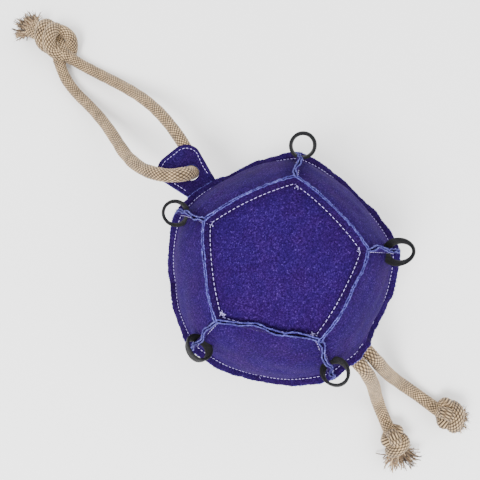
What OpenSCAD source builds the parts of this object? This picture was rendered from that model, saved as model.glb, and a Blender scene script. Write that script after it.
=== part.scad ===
// Stuffed ball of twelve suede pentagons with a rope handle, two rope tails and five tape loops.
//
// The panels are sewn with their raw edges outside, so every seam stands up as a two-layer fin.
// The ball rests on its base panel. The origin is the middle of that panel's outer face,
// +Z is up and +Y points at the pull tab. All lengths are in millimetres.

/* [Ball] */
// Length of one seam, from corner to corner
seam_len = 56; // [55:0.5:57]
// Height of the middle of a panel above the plane of its corners
panel_crown = 10; // [9:0.5:11]
// Thickness of the suede
suede_t = 1.3; // [1.1:0.1:1.4]
// Width of the raw edge that stands outside each seam
seam_allow = 6; // [5:0.5:6.5]

/* [Pull tab] */
// Width of the tab where it leaves the seam
tab_root_w = 26; // [22:1:28]
// Distance of the tab's end from the ball's axis
tab_end_y = 119.5; // [117:0.5:122]
// Radius of the two rounded corners
tab_corner_r = 12; // [10:1:12]
// Half the distance between the middles of the two rounded corners
tab_corner_x = 6.3; // [5:0.1:7]
// Diameter of the hole for the rope
tab_hole_d = 16; // [15:0.5:16]
// Side lean of the tab
tab_roll = 8; // [4:1:10]

/* [Rope] */
// Diameter of the braided rope
rope_d = 10; // [9:0.5:10]

/* [Tape loops] */
// Width of the tape
tape_w = 6; // [5:0.5:6]
// Thickness of the tape
tape_t = 1; // [0.8:0.1:1.2]
// Outer diameter of the round part of a loop
loop_d = 17; // [16:0.5:18]
// Distance from the corner of the panels up the seam to the loop
loop_up = 14; // [12:1:18]

/* [Hidden] */
$fn = 96;

SUEDE = [0.20, 0.13, 0.48];
THREAD = [0.85, 0.83, 0.92];
ROPE = [0.80, 0.70, 0.58];
TAPE = [0.06, 0.06, 0.06];
FILLING = [0.93, 0.93, 0.90];

// Regular dodecahedron on the seam lines
panel_in_r = seam_len / (2 * tan(36));
panel_out_r = seam_len / (2 * sin(36));
ball_in_r = seam_len * sqrt((25 + 11 * sqrt(5)) / 10) / 2;
seam_lean = atan(panel_in_r / ball_in_r);
upper_tilt = 2 * seam_lean;
lower_tilt = 180 - upper_tilt;
half_seam_angle = atan(seam_len / 2 / norm([panel_in_r, ball_in_r]));
ball_z = ball_in_r;

// Each panel is part of a sphere whose middle lies behind the middle of the ball
dome_drop = (panel_out_r ^ 2 - panel_crown ^ 2) / (2 * panel_crown) - ball_in_r;
dome_r = dome_drop + ball_in_r + panel_crown;
// The seam is an arc of this sphere, in the plane between two panels
arc_drop = dome_drop * cos(seam_lean);
arc_r = sqrt(dome_r ^ 2 - (dome_drop * sin(seam_lean)) ^ 2);

seam_gap = 0.05;
tab_seam_gap = 1.4;
corner_gap = 0.8;
fill_gap = 0.3;
reach = 200;

// Where the lower panels come down on the base panel
base_top = suede_t + 2 * seam_gap;
foot_back = dome_drop * sin(upper_tilt);
foot_rise = ball_z + dome_drop * cos(upper_tilt) - base_top;
foot_r = sqrt(dome_r ^ 2 - foot_rise ^ 2);

// Thread runs, as thin strips on both faces of each fin
thread_w = 0.7;
thread_t = 0.5;
thread_up = 1.2;
thread_lift = 0.02;
base_thread_up = 3;
thread_end = 1.5;
tab_thread_in = 3;

// Pull tab
tab_hinge_y = 85.5;
tab_hinge_gap = 0.7;
tab_layer_gap = 0.05;
tab_root_start = 77.5;
tab_root_end = 83.2;
tab_twist_steps = 4;
tab_root_t = 2 * suede_t;
tab_hole = [2, 97];

// Tape loops
loop_root = 2.6;
leg_clear = 2.15;
loop_pitch = [18, 24, 55, 34, 36];

// Tail ropes where they pass through the seam
tail_e = 6.1;
tail_bore_r = rope_d / 2 + 0.3;
tail_mouth_y = 83.5;
tail_root_y = 62;
tail_pos = [for (s = [-1, 1]) [s * tail_e * cos(seam_lean), ball_z - s * tail_e * sin(seam_lean)]];

// Routes of the ropes
rope_sides = 10;
PULL_ROUTE = [
    [-8, 281, 11], [-14, 272, 8], [-18.5, 259, 6], [-20, 243, 6.5], [-19.5, 226, 10],
    [-19.5, 208, 16], [-20.5, 190, 24], [-22.5, 171, 34], [-24.5, 153, 45], [-24.5, 138, 55.5],
    [-22.5, 124, 65.2], [-18.5, 113, 71.8], [-13, 104, 75.2], [-7, 98.5, 75], [-2, 96.5, 70.8],
    [1.5, 96.5, 64], [4, 98, 57.5], [7, 102, 52], [10, 109, 48.5], [13.5, 120, 47],
    [16, 133, 44.5], [18, 148, 40], [19, 164, 34.5], [18.5, 182, 27.5], [16.5, 200, 19.5],
    [13, 218, 13], [8.5, 236, 8], [3.5, 253, 6], [-0.5, 266, 7], [-3, 276, 10]
];
LEFT_ROUTE = [
    [-5.2, -88.5, 65.5], [-5.6, -95, 60], [-6.4, -101.5, 51], [-7.2, -107.5, 41.5],
    [-8.4, -113, 32], [-10, -118.5, 22.5], [-12, -125, 13.5], [-14.4, -132, 7.5],
    [-17, -139, 5.2], [-19.6, -145.5, 5.2], [-22, -151, 8]
];
RIGHT_ROUTE = [
    [5.2, -88.5, 59.2], [5.5, -95, 54], [5.9, -102, 45], [6.5, -109, 35.5],
    [7.4, -116, 26], [8.8, -123.5, 17], [10.6, -132, 10], [12.6, -141, 6],
    [14.4, -149.5, 5.2], [15.8, -157.5, 5.2], [17.2, -165, 8]
];

// Knots, each a ball or two, with a cone for its frayed end
KNOT_R = 12.5;
LEFT_KNOT = [-24, -157, KNOT_R];
RIGHT_KNOT = [20, -173, KNOT_R];
PULL_KNOT_R = 14.5;
PULL_KNOT = [[-5, 285, PULL_KNOT_R], [-1, 295, PULL_KNOT_R]];
FRAY_L = 20;
FRAY_R = [6, 11];
FRAY_IN = 6;

upper_turn = [for (n = [1:5]) 72 * n];
lower_turn = [for (n = [1:5]) 72 * n + 36];
TAB_UPPER = 1;
TAB_LOWER = 1;
TAIL_UPPER = 4;
TAIL_LOWER = 3;

// ---------------------------------------------------------------- frames

// A panel's own frame: origin at the ball's middle, +Z out through the panel
module panel_frame(tilt, turn) {
    translate([0, 0, ball_z]) rotate([0, tilt, turn]) children();
}

// A seam's own frame inside a panel's: +Z out through the seam, +Y along it, +X away from the panel
module seam_frame(mid) {
    rotate([0, 0, mid]) rotate([0, seam_lean, 0]) children();
}

// Stands a 2D outline of width Y and height Z up in the plane of a seam
module in_seam_plane(from, thickness) {
    translate([from, 0, 0]) rotate([90, 0, 90]) linear_extrude(thickness) children();
}

// ---------------------------------------------------------------- suede panels

// The spheres are turned on their side so that their poles lie away from the panel
module dome_shell() {
    translate([0, 0, -dome_drop]) rotate([90, 0, 0]) difference() {
        sphere(r = dome_r);
        sphere(r = dome_r - suede_t);
    }
}

module wedge(mids) {
    intersection_for (mid = mids) seam_frame(mid)
        translate([-reach, -reach / 2, 0]) cube([reach - seam_gap, reach, reach]);
}

// Band between two heights above the seam line, ending at the panels' corners
module seam_band(low, high, half_angle) {
    side = reach * tan(half_angle);
    intersection() {
        translate([0, -arc_drop]) difference() {
            circle(r = arc_r + high);
            circle(r = arc_r + low);
        }
        polygon([[0, 0], [side, reach], [-side, reach]]);
    }
}

module fin(mid, gap) {
    seam_frame(mid) in_seam_plane(-gap - suede_t, suede_t)
        seam_band(-suede_t / 2, seam_allow, half_seam_angle - corner_gap);
}

// One pentagon of suede. mids are its seams' directions, and wide is a seam that holds the tab
module panel(mids, wide = -1) {
    intersection() {
        dome_shell();
        wedge(mids);
    }
    for (mid = mids) fin(mid, mid == wide ? tab_seam_gap : seam_gap);
}

module below(height) {
    translate([-reach, -reach, height - reach]) cube([2 * reach, 2 * reach, reach]);
}

// Part of the base's bulged outline that belongs to one lower panel
module foot_band(low, high, half_angle) {
    side = reach * tan(half_angle);
    intersection() {
        translate([-foot_back, 0]) difference() {
            circle(r = foot_r + high);
            circle(r = foot_r + low);
        }
        polygon([[0, 0], [reach, side], [reach, -side]]);
    }
}

module top_panel() {
    color(SUEDE) panel_frame(0, 0) panel([for (k = [0:4]) 72 * k]);
}

module upper_panel(n) {
    color(SUEDE) difference() {
        panel_frame(upper_tilt, upper_turn[n - 1])
            panel([36, 108, 180, 252, 324], n == TAB_UPPER ? 36 : -1);
        if (n == TAIL_UPPER) tail_bores(tail_bore_r);
    }
}

module lower_panel(n) {
    color(SUEDE) difference() {
        union() {
            panel_frame(lower_tilt, lower_turn[n - 1])
                panel([216, 288, 72, 144], n == TAB_LOWER ? 216 : -1);
            rotate([0, 0, lower_turn[n - 1]]) translate([0, 0, base_top - suede_t])
                linear_extrude(2 * suede_t) foot_band(-1.5 * suede_t, seam_allow, 36 - corner_gap);
        }
        below(base_top);
        if (n == TAIL_LOWER) tail_bores(tail_bore_r);
    }
}

module base_panel() {
    color(SUEDE) linear_extrude(suede_t)
        intersection_for (turn = lower_turn)
            rotate(turn) translate([-foot_back, 0]) circle(r = foot_r + seam_allow);
}

// Stuffing that fills the panels
module filling() {
    color(FILLING) difference() {
        translate([0, 0, ball_z]) sphere(r = ball_in_r + panel_crown - suede_t - fill_gap);
        below(base_top + fill_gap);
        tail_bores(tail_bore_r);
    }
}

// ---------------------------------------------------------------- seam threads

module thread_run(mid, gap = seam_gap) {
    face = gap + suede_t + thread_lift;
    seam_frame(mid) for (from = [face, -face - thread_t])
        in_seam_plane(from, thread_t)
            seam_band(thread_up, thread_up + thread_w, half_seam_angle - thread_end);
}

module top_seam_thread() {
    color(THREAD) panel_frame(0, 0) for (k = [0:4]) thread_run(72 * k);
}

module upper_seam_thread() {
    color(THREAD) for (turn = upper_turn) panel_frame(upper_tilt, turn) thread_run(108);
}

module middle_seam_thread() {
    color(THREAD) difference() {
        for (n = [1:5]) panel_frame(upper_tilt, upper_turn[n - 1]) {
            thread_run(36, n == TAB_UPPER ? tab_seam_gap : seam_gap);
            thread_run(324);
        }
        tail_bores(tail_bore_r);
    }
}

module lower_seam_thread() {
    color(THREAD) difference() {
        for (turn = lower_turn) panel_frame(lower_tilt, turn) thread_run(72);
        below(base_top + 2 * suede_t);
    }
}

module base_seam_thread() {
    color(THREAD) for (turn = lower_turn) rotate([0, 0, turn])
        translate([0, 0, base_top + suede_t + thread_lift]) linear_extrude(thread_t)
            foot_band(base_thread_up, base_thread_up + thread_w, 36 - 2 * thread_end);
}

// ---------------------------------------------------------------- tape loops

// Frame of a loop: origin at its root on the seam, +X out along the loop, +Z across the tape
module loop_frame(n) {
    e = seam_len / 2 - loop_up;
    out = sqrt(arc_r ^ 2 - e ^ 2) - arc_drop + loop_root;
    root_x = out * cos(seam_lean) + e * sin(seam_lean);
    root_z = out * sin(seam_lean) - e * cos(seam_lean);
    rotate([0, 0, 72 * n - 36]) translate([root_x, 0, ball_z + root_z])
        rotate([0, -loop_pitch[n - 1], 0]) children();
}

// A ring of tape, open where it holds the fin between its two ends
module tape_loop(n) {
    bend_r = (loop_d - tape_t) / 2;
    gap_a = asin((leg_clear + tape_t / 2) / bend_r);
    color(TAPE) loop_frame(n) translate([bend_r * cos(gap_a), 0, 0])
        rotate([0, 0, gap_a - 180]) rotate_extrude(angle = 360 - 2 * gap_a)
            translate([bend_r - tape_t / 2, -tape_w / 2]) square([tape_t, tape_w]);
}

// ---------------------------------------------------------------- pull tab

module tab_frame() {
    translate([0, 0, ball_z]) rotate([0, tab_roll, 0]) children();
}

// Rounded outline of the tab, drawn smaller by inset
module tab_outline(inset) {
    r = tab_corner_r - inset;
    base_x = tab_root_w / 2 - inset;
    base_y = tab_hinge_y + tab_hinge_gap;
    end_y = tab_end_y - tab_corner_r;
    to_corner = [tab_corner_x - base_x, end_y - base_y];
    far = norm(to_corner);
    side_a = atan2(to_corner[1], to_corner[0]) - asin(r / far);
    side_l = sqrt(far ^ 2 - r ^ 2);
    edge = [base_x, base_y] + side_l * [cos(side_a), sin(side_a)];
    for (s = [-1, 1]) translate([s * tab_corner_x, end_y]) circle(r = r);
    translate([-tab_corner_x, end_y]) square([2 * tab_corner_x, r]);
    polygon([
        [base_x, base_y], edge, [tab_corner_x, end_y],
        [-tab_corner_x, end_y], [-edge[0], edge[1]], [-base_x, base_y]
    ]);
}

module tab_layer(from) {
    color(SUEDE) tab_frame() translate([0, 0, from]) linear_extrude(suede_t) difference() {
        tab_outline(0);
        translate(tab_hole) circle(d = tab_hole_d);
    }
}

module tab_thread() {
    face = tab_layer_gap + suede_t + thread_lift;
    color(THREAD) tab_frame() for (from = [face, -face - thread_t])
        translate([0, 0, from]) linear_extrude(thread_t) difference() {
            tab_outline(tab_thread_in);
            tab_outline(tab_thread_in + thread_w);
            translate([-reach / 2, 0]) square([reach, tab_hinge_y + tab_hinge_gap + thread_w]);
        }
}

module tab_slab(lean, from, to) {
    rotate([0, lean, 0]) translate([-tab_root_w / 2, from, -tab_root_t / 2])
        cube([tab_root_w, to - from, tab_root_t]);
}

// The part of the tab that is sewn between the two layers of the seam. Past the seam it turns
// from the seam's lean to the tab's own, in a few overlapping steps
module tab_root() {
    twist_end = tab_hinge_y - tab_hinge_gap;
    step_y = (twist_end - tab_root_end) / tab_twist_steps;
    color(SUEDE) translate([0, 0, ball_z]) {
        tab_slab(seam_lean, tab_root_start, tab_root_end);
        for (k = [1:tab_twist_steps])
            tab_slab(
                seam_lean + (tab_roll - seam_lean) * k / tab_twist_steps,
                tab_root_end + step_y * (k - 1.5),
                tab_root_end + step_y * k
            );
    }
}

// ---------------------------------------------------------------- ropes

function unit(v) = v / norm(v);

// Direction of a route at point k
function heading(route, k) =
    unit(route[min(k + 1, len(route) - 1)] - route[max(k - 1, 0)]);

function ring(route, k, r) =
    let (along = heading(route, k), u = unit(cross(along, [1, 0, 0])), v = cross(along, u))
    [for (j = [0:rope_sides - 1])
        route[k] + r * (cos(360 * j / rope_sides) * u + sin(360 * j / rope_sides) * v)];

// A tube of one polyhedron, with a ring at each point of the route
module tube(route, r) {
    n = rope_sides;
    last = len(route) - 1;
    points = [for (k = [0:last]) each ring(route, k, r)];
    sides = [for (k = [0:last - 1], j = [0:n - 1])
        let (a = k * n + j, b = k * n + (j + 1) % n)
        each [[a, b, a + n], [b, b + n, a + n]]];
    caps = [[for (j = [n - 1:-1:0]) j], [for (j = [0:n - 1]) last * n + j]];
    polyhedron(points, concat(caps, sides));
}

module rope(route) {
    color(ROPE) tube(route, rope_d / 2);
}

// Cone of frayed strands, from a knot's middle outwards along dir
module fray(from, dir, knot_r) {
    a = atan2(dir[1], dir[0]);
    translate(from) rotate([0, 90, a]) translate([0, 0, knot_r - FRAY_IN])
        cylinder(h = FRAY_L, r1 = FRAY_R[0], r2 = FRAY_R[1]);
}

module pull_knot() {
    color(ROPE) {
        for (p = PULL_KNOT) translate(p) sphere(r = PULL_KNOT_R);
        fray(PULL_KNOT[1], [-5, 30], PULL_KNOT_R);
    }
}

module tail_knot(middle, dir) {
    color(ROPE) {
        translate(middle) sphere(r = KNOT_R);
        fray(middle, dir, KNOT_R);
    }
}

module tail_cylinders(r, from, to) {
    for (p = tail_pos) translate([p[0], -from, p[1]]) rotate([90, 0, 0]) cylinder(h = to - from, r = r);
}

module tail_bores(r) {
    tail_cylinders(r, tail_root_y - 1, tail_mouth_y + 1);
}

// The ends of the two tails that are held inside the seam
module tail_roots() {
    color(ROPE) tail_cylinders(rope_d / 2, tail_root_y, tail_mouth_y + 0.2);
}

// ---------------------------------------------------------------- nodes

filling();
top_panel();
upper_panel(1);  // upper_panel_1
upper_panel(2);  // upper_panel_2
upper_panel(3);  // upper_panel_3
upper_panel(4);  // upper_panel_4
upper_panel(5);  // upper_panel_5
lower_panel(1);  // lower_panel_1
lower_panel(2);  // lower_panel_2
lower_panel(3);  // lower_panel_3
lower_panel(4);  // lower_panel_4
lower_panel(5);  // lower_panel_5
base_panel();
top_seam_thread();
upper_seam_thread();
middle_seam_thread();
lower_seam_thread();
base_seam_thread();
tape_loop(1);  // tape_loop_1
tape_loop(2);  // tape_loop_2
tape_loop(3);  // tape_loop_3
tape_loop(4);  // tape_loop_4
tape_loop(5);  // tape_loop_5
tab_root();
tab_layer(tab_layer_gap);  // tab_front
tab_layer(-tab_layer_gap - suede_t);  // tab_back
tab_thread();
rope(PULL_ROUTE);  // pull_rope
pull_knot();
tail_roots();
rope(LEFT_ROUTE);  // left_tail_rope
tail_knot(LEFT_KNOT, [-8, -20]);  // left_tail_knot
rope(RIGHT_ROUTE);  // right_tail_rope
tail_knot(RIGHT_KNOT, [10, -16]);  // right_tail_knot
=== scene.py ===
"""Looks of the stuffed suede pull ball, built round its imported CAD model.

Lengths are in millimetres until a mesh is made."""

import math

import bmesh
import bpy
import numpy as np
from mathutils import Matrix, Vector


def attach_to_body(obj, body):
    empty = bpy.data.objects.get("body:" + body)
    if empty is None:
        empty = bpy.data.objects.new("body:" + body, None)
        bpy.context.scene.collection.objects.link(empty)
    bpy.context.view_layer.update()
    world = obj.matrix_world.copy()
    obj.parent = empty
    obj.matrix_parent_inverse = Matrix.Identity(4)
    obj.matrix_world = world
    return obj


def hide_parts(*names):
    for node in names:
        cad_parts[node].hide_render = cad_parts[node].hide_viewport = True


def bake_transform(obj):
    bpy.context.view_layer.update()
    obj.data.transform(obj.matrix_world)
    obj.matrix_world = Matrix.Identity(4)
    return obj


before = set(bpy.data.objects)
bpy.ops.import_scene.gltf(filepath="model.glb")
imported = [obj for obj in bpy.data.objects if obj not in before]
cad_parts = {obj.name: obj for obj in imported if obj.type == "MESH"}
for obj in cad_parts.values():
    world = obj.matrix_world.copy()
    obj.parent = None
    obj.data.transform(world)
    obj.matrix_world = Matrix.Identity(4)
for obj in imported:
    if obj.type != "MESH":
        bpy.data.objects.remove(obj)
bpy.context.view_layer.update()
MM = 0.001

# ------------ sizes, as in the CAD model

SEAM_LEN = 56.0  # side of each pentagon
CROWN = 10.0  # how far a panel's middle stands above its corners
SUEDE_T = 1.3
ALLOW = 6.0  # seam allowance, turned outwards as a fin
ROPE_R = 5.0
IN_R = SEAM_LEN / (2 * math.tan(math.radians(36)))  # the pentagon's inner and outer radius
OUT_R = SEAM_LEN / (2 * math.sin(math.radians(36)))
BALL_Z = SEAM_LEN * math.sqrt((25 + 11 * math.sqrt(5)) / 10) / 2  # height of the ball's middle
LEAN = math.atan(IN_R / BALL_Z)  # half the angle between two neighbouring panels' directions
HALF = math.atan(SEAM_LEN / 2 / math.hypot(IN_R, BALL_Z))  # half the angle that a seam spans
UPPER_TILT = 2 * LEAN
LOWER_TILT = math.pi - UPPER_TILT
DROP = (OUT_R**2 - CROWN**2) / (2 * CROWN) - BALL_Z  # how far a dome's centre lies beyond the ball's middle
DOME_R = DROP + BALL_Z + CROWN
ARC_DROP = DROP * math.cos(LEAN)  # the same two for the arc on which two domes meet
ARC_R = math.sqrt(DOME_R**2 - (DROP * math.sin(LEAN)) ** 2)
BASE_TOP = SUEDE_T + 0.1
FOOT_BACK = DROP * math.sin(UPPER_TILT)  # centre and radius of the arc on which a lower dome meets the base
FOOT_R = math.sqrt(DOME_R**2 - (BALL_Z + DROP * math.cos(UPPER_TILT) - BASE_TOP) ** 2)
CENTRE = np.array([0.0, 0.0, BALL_Z])
TAIL_E = 6.1  # how far each tail comes out from the middle of its seam


def rot_y(a):
    c, s = math.cos(a), math.sin(a)
    return np.array([[c, 0, s], [0, 1, 0], [-s, 0, c]])


def rot_z(a):
    c, s = math.cos(a), math.sin(a)
    return np.array([[c, -s, 0], [s, c, 0], [0, 0, 1]])


def unit(v):
    v = np.asarray(v, float)
    return v / np.maximum(np.linalg.norm(v, axis=-1, keepdims=True), 1e-12)


def smooth(t):
    t = np.clip(t, 0, 1)
    return t * t * (3 - 2 * t)


def lumps(points, size, seed, waves=9):
    """Soft noise of about -1 to 1 with features of the given size, the same for the same points."""
    points = np.asarray(points, float)
    if points.ndim == 1:
        points = points[:, None]
    r = np.random.default_rng(seed)
    total = np.zeros(len(points))
    for _ in range(waves):
        k = unit(r.normal(size=points.shape[1])) * 2 * math.pi / (size * r.uniform(1.4, 3.2))
        total += np.sin(points @ k + r.uniform(0, 6.28))
    return total / (waves * 0.5) ** 0.5 * 0.7


# ------------ materials


def new_material(name, rough=0.9, **sockets):
    m = bpy.data.materials.new(name)
    m.use_nodes = True
    shader = m.node_tree.nodes["Principled BSDF"]
    shader.inputs["Roughness"].default_value = rough
    for key, value in sockets.items():
        shader.inputs[key.replace("_", " ")].default_value = value
    return m, m.node_tree, shader


def node(tree, kind, **settings):
    n = tree.nodes.new(kind)
    for key, value in settings.items():
        if hasattr(n, key):
            setattr(n, key, value)
        else:
            n.inputs[key.replace("_", " ")].default_value = value
    return n


def noise(tree, coords, scale, detail=3.0, rough=0.6, distortion=0.0):
    n = node(tree, "ShaderNodeTexNoise", Scale=scale, Detail=detail, Roughness=rough, Distortion=distortion)
    tree.links.new(coords, n.inputs["Vector"])
    return n.outputs["Fac"]


def math_node(tree, operation, a, b):
    n = node(tree, "ShaderNodeMath", operation=operation)
    for socket, value in zip(n.inputs, (a, b)):
        if isinstance(value, (int, float)):
            socket.default_value = value
        else:
            tree.links.new(value, socket)
    return n.outputs[0]


def ramp(tree, fac, stops):
    n = node(tree, "ShaderNodeValToRGB")
    while len(n.color_ramp.elements) < len(stops):
        n.color_ramp.elements.new(0.5)
    for e, (pos, col) in zip(n.color_ramp.elements, stops):
        e.position = pos
        e.color = (*col, 1)
    tree.links.new(fac, n.inputs["Fac"])
    return n.outputs["Color"]


def bump(tree, shader, height, strength, distance, before=None):
    n = node(tree, "ShaderNodeBump", Strength=strength, Distance=distance)
    tree.links.new(height, n.inputs["Height"])
    if before is not None:
        tree.links.new(before, n.inputs["Normal"])
    tree.links.new(n.outputs["Normal"], shader.inputs["Normal"])
    return n.outputs["Normal"]


def object_coords(tree):
    return node(tree, "ShaderNodeTexCoord").outputs["Object"]


def mixed_noise(tree, coords, parts):
    """Weighted sum of noises, each (weight, scale, detail, roughness)."""
    total = None
    for weight, scale, detail, rough in parts:
        part = math_node(tree, "MULTIPLY", noise(tree, coords, scale, detail, rough), weight)
        total = part if total is None else math_node(tree, "ADD", total, part)
    return total


def suede_material(name, dark, mid, light, sparkle):
    """Matt suede with a fine nap and faint reddish patches; the colours go from its hollows to its tips."""
    m, t, s = new_material(name, 0.95, Sheen_Weight=0.02, Sheen_Roughness=0.45, Sheen_Tint=(0.6, 0.42, 1, 1),
                           Specular_IOR_Level=0.04)
    c = object_coords(t)
    nap = mixed_noise(t, c, [(0.07, 60, 2, 0.6), (0.38, 850, 2, 0.7), (0.55, 1500, 4, 0.8)])
    colour = ramp(t, nap, [(0.4, dark), (0.51, mid), (0.575, light), (0.65, sparkle)])
    tint = ramp(t, noise(t, c, 48, 3, 0.65), [(0.4, (0.95, 0.99, 1.0)), (0.62, (1.12, 0.94, 0.93))])
    patches = node(t, "ShaderNodeMixRGB", blend_type="MULTIPLY", Fac=1.0)
    t.links.new(colour, patches.inputs["Color1"])
    t.links.new(tint, patches.inputs["Color2"])
    t.links.new(patches.outputs["Color"], s.inputs["Base Color"])
    first = bump(t, s, noise(t, c, 260, 3, 0.6), 0.35, 0.0006)
    bump(t, s, noise(t, c, 1900, 4, 0.8), 0.75, 0.0003, first)
    return m


def raw_edge_material():
    """Paler, rough edge of cut suede."""
    m, t, s = new_material("suede_raw_edge", 0.95, Sheen_Weight=0.06, Sheen_Roughness=0.5,
                           Sheen_Tint=(0.75, 0.7, 1, 1))
    c = object_coords(t)
    tone = mixed_noise(t, c, [(0.45, 320, 3, 0.6), (0.55, 1500, 3, 0.75)])
    stops = [(0.38, (0.010, 0.004, 0.06)), (0.5, (0.036, 0.030, 0.22)), (0.62, (0.14, 0.14, 0.52))]
    t.links.new(ramp(t, tone, stops), s.inputs["Base Color"])
    bump(t, s, noise(t, c, 1600, 4, 0.8), 0.9, 0.0004)
    return m


def thread_material():
    m, t, s = new_material("seam_thread", 0.6, Sheen_Weight=0.3)
    c = object_coords(t)
    colour = ramp(t, noise(t, c, 900, 2, 0.6), [(0.3, (0.26, 0.20, 0.55)), (0.7, (0.56, 0.49, 0.98))])
    t.links.new(colour, s.inputs["Base Color"])
    bump(t, s, noise(t, c, 4200, 2, 0.6), 0.5, 0.0001)
    return m


def rope_material(name, low, high):
    """Braided cord: painted shade between the strands, pale on them, with fine fibres and stained patches."""
    m, t, s = new_material(name, 0.88, Sheen_Weight=0.25, Sheen_Roughness=0.5)
    c = object_coords(t)
    # The strand attribute sets how dark the colour is: on a braid it follows how high the strands stand, so
    # the hollows between them get painted shade, down to near black; on frayed yarns it is a random tone for
    # each yarn.
    depth = node(t, "ShaderNodeAttribute", attribute_name="strand").outputs["Fac"]
    grime = mixed_noise(t, c, [(0.6, 140, 3, 0.6), (0.4, 2600, 3, 0.7)])
    shade_and_stain = math_node(t, "ADD", math_node(t, "MULTIPLY", depth, 0.78), math_node(t, "MULTIPLY", grime, 0.44))
    mid = tuple(0.5 * (a + b) for a, b in zip(low, high))
    colour = ramp(t, shade_and_stain, [(0.5, tuple(0.1 * v for v in low)), (0.74, low), (0.88, mid), (1.0, high)])
    t.links.new(colour, s.inputs["Base Color"])
    first = bump(t, s, noise(t, c, 1300, 2, 0.6), 0.4, 0.0004)
    bump(t, s, noise(t, c, 4200, 3, 0.7), 0.6, 0.00015, first)
    return m


def tape_material():
    m, t, s = new_material("black_tape", 0.7, Specular_IOR_Level=0.25)
    c = object_coords(t)
    blacks = [(0.35, (0.0015, 0.0015, 0.002)), (0.7, (0.010, 0.010, 0.012))]
    colour = ramp(t, noise(t, c, 1700, 3, 0.7), blacks)
    t.links.new(colour, s.inputs["Base Color"])
    uv = node(t, "ShaderNodeTexCoord").outputs["UV"]
    ribs = node(t, "ShaderNodeTexWave", Scale=1.0, wave_type="BANDS", bands_direction="X")
    rows = node(t, "ShaderNodeTexWave", Scale=1.0, wave_type="BANDS", bands_direction="Y")
    t.links.new(uv, ribs.inputs["Vector"])
    t.links.new(uv, rows.inputs["Vector"])
    weave = math_node(t, "MULTIPLY", ribs.outputs["Fac"], rows.outputs["Fac"])
    bump(t, s, weave, 0.8, 0.0002)
    return m


def fill_material():
    m, t, s = new_material("fibre_fill", 1.0, Sheen_Weight=0.4)
    c = object_coords(t)
    colour = ramp(t, noise(t, c, 220, 5, 0.7), [(0.3, (0.62, 0.62, 0.6)), (0.7, (0.93, 0.93, 0.91))])
    t.links.new(colour, s.inputs["Base Color"])
    bump(t, s, noise(t, c, 700, 5, 0.8), 0.9, 0.002)
    return m


SUEDE = suede_material("purple_suede", (0.0050, 0.0007, 0.0255), (0.0126, 0.0027, 0.057),
                       (0.0235, 0.0074, 0.096), (0.085, 0.047, 0.245))
# A darker copy of the suede for the pull tab: painted shade, as the tab stands in shadow.
TAB_SUEDE_PAINTED_SHADE = suede_material("tab_suede_painted_shade", (0.004, 0.001, 0.02), (0.010, 0.0028, 0.043),
                            (0.02, 0.008, 0.075), (0.05, 0.03, 0.14))
# A darker copy of the suede for the faces of the top and middle fins: painted shade on those fins.
FIN_SUEDE_PAINTED_SHADE = suede_material("fin_suede_painted_shade", (0.005, 0.0008, 0.021), (0.0105, 0.0024, 0.043),
                           (0.019, 0.006, 0.073), (0.045, 0.026, 0.14))
RAW = raw_edge_material()
THREAD = thread_material()
ROPE = rope_material("braided_rope", (0.060, 0.034, 0.014), (0.58, 0.40, 0.21))
YARN = rope_material("frayed_yarn", (0.14, 0.082, 0.04), (0.48, 0.335, 0.19))
TAPE = tape_material()
FILL = fill_material()

# ------------ meshes


def add_object(name, data):
    obj = bpy.data.objects.new(name, data)
    bpy.context.scene.collection.objects.link(obj)
    return obj


class Soup:
    """Gathers vertices and faces of many bits into one mesh."""

    def __init__(self):
        self.verts, self.faces, self.mats, self.values, self.count = [], [], [], [], 0

    def add(self, verts, faces, mat=0, value=0.6):
        verts = np.asarray(verts, float).reshape(-1, 3)
        faces = np.asarray(faces, int)
        self.verts.append(verts)
        self.faces.append((faces + self.count).tolist())
        self.mats.append(np.full(len(faces), mat) if np.isscalar(mat) else np.asarray(mat))
        self.values.append(np.full(len(verts), value) if np.isscalar(value) else np.asarray(value).ravel())
        self.count += len(verts)

    def grid(self, points, mat=0, value=0.6, close=False, flip=False):
        """points is (rows, columns, 3). The last column joins the first; close joins the last row too."""
        rows, cols = points.shape[:2]
        a, b = np.meshgrid(np.arange(rows if close else rows - 1), np.arange(cols), indexing="ij")
        c, d = (a + 1) % rows, (b + 1) % cols
        quads = np.stack([a * cols + b, a * cols + d, c * cols + d, c * cols + b], -1).reshape(-1, 4)
        if flip:
            quads = quads[:, ::-1]
        mats = mat if np.isscalar(mat) else np.broadcast_to(mat, a.shape).ravel()
        self.add(points.reshape(-1, 3), quads, mats, value)

    def mesh(self, name, materials):
        data = bpy.data.meshes.new(name)
        faces = [f for part in self.faces for f in part]
        data.from_pydata((np.vstack(self.verts) * MM).tolist(), [], faces)
        for m in materials:
            data.materials.append(m)
        data.polygons.foreach_set("material_index", np.concatenate(self.mats).astype(np.int32))
        data.polygons.foreach_set("use_smooth", np.ones(len(faces), bool))
        # strand carries each point's value for the rope materials: how high a braid's strands stand, which
        # they turn into painted shade between the strands, or a yarn's random tone.
        strand = data.attributes.new("strand", "FLOAT", "POINT")
        strand.data.foreach_set("value", np.concatenate(self.values).astype(np.float32))
        data.update()
        return add_object(name, data)


def attach(piece, body, slot, *replaced):
    """Fixes a piece to one body of the CAD model, in place of the nodes named, and gives it back."""
    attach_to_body(piece, body)
    if replaced:
        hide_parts(*replaced)
    return piece


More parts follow.
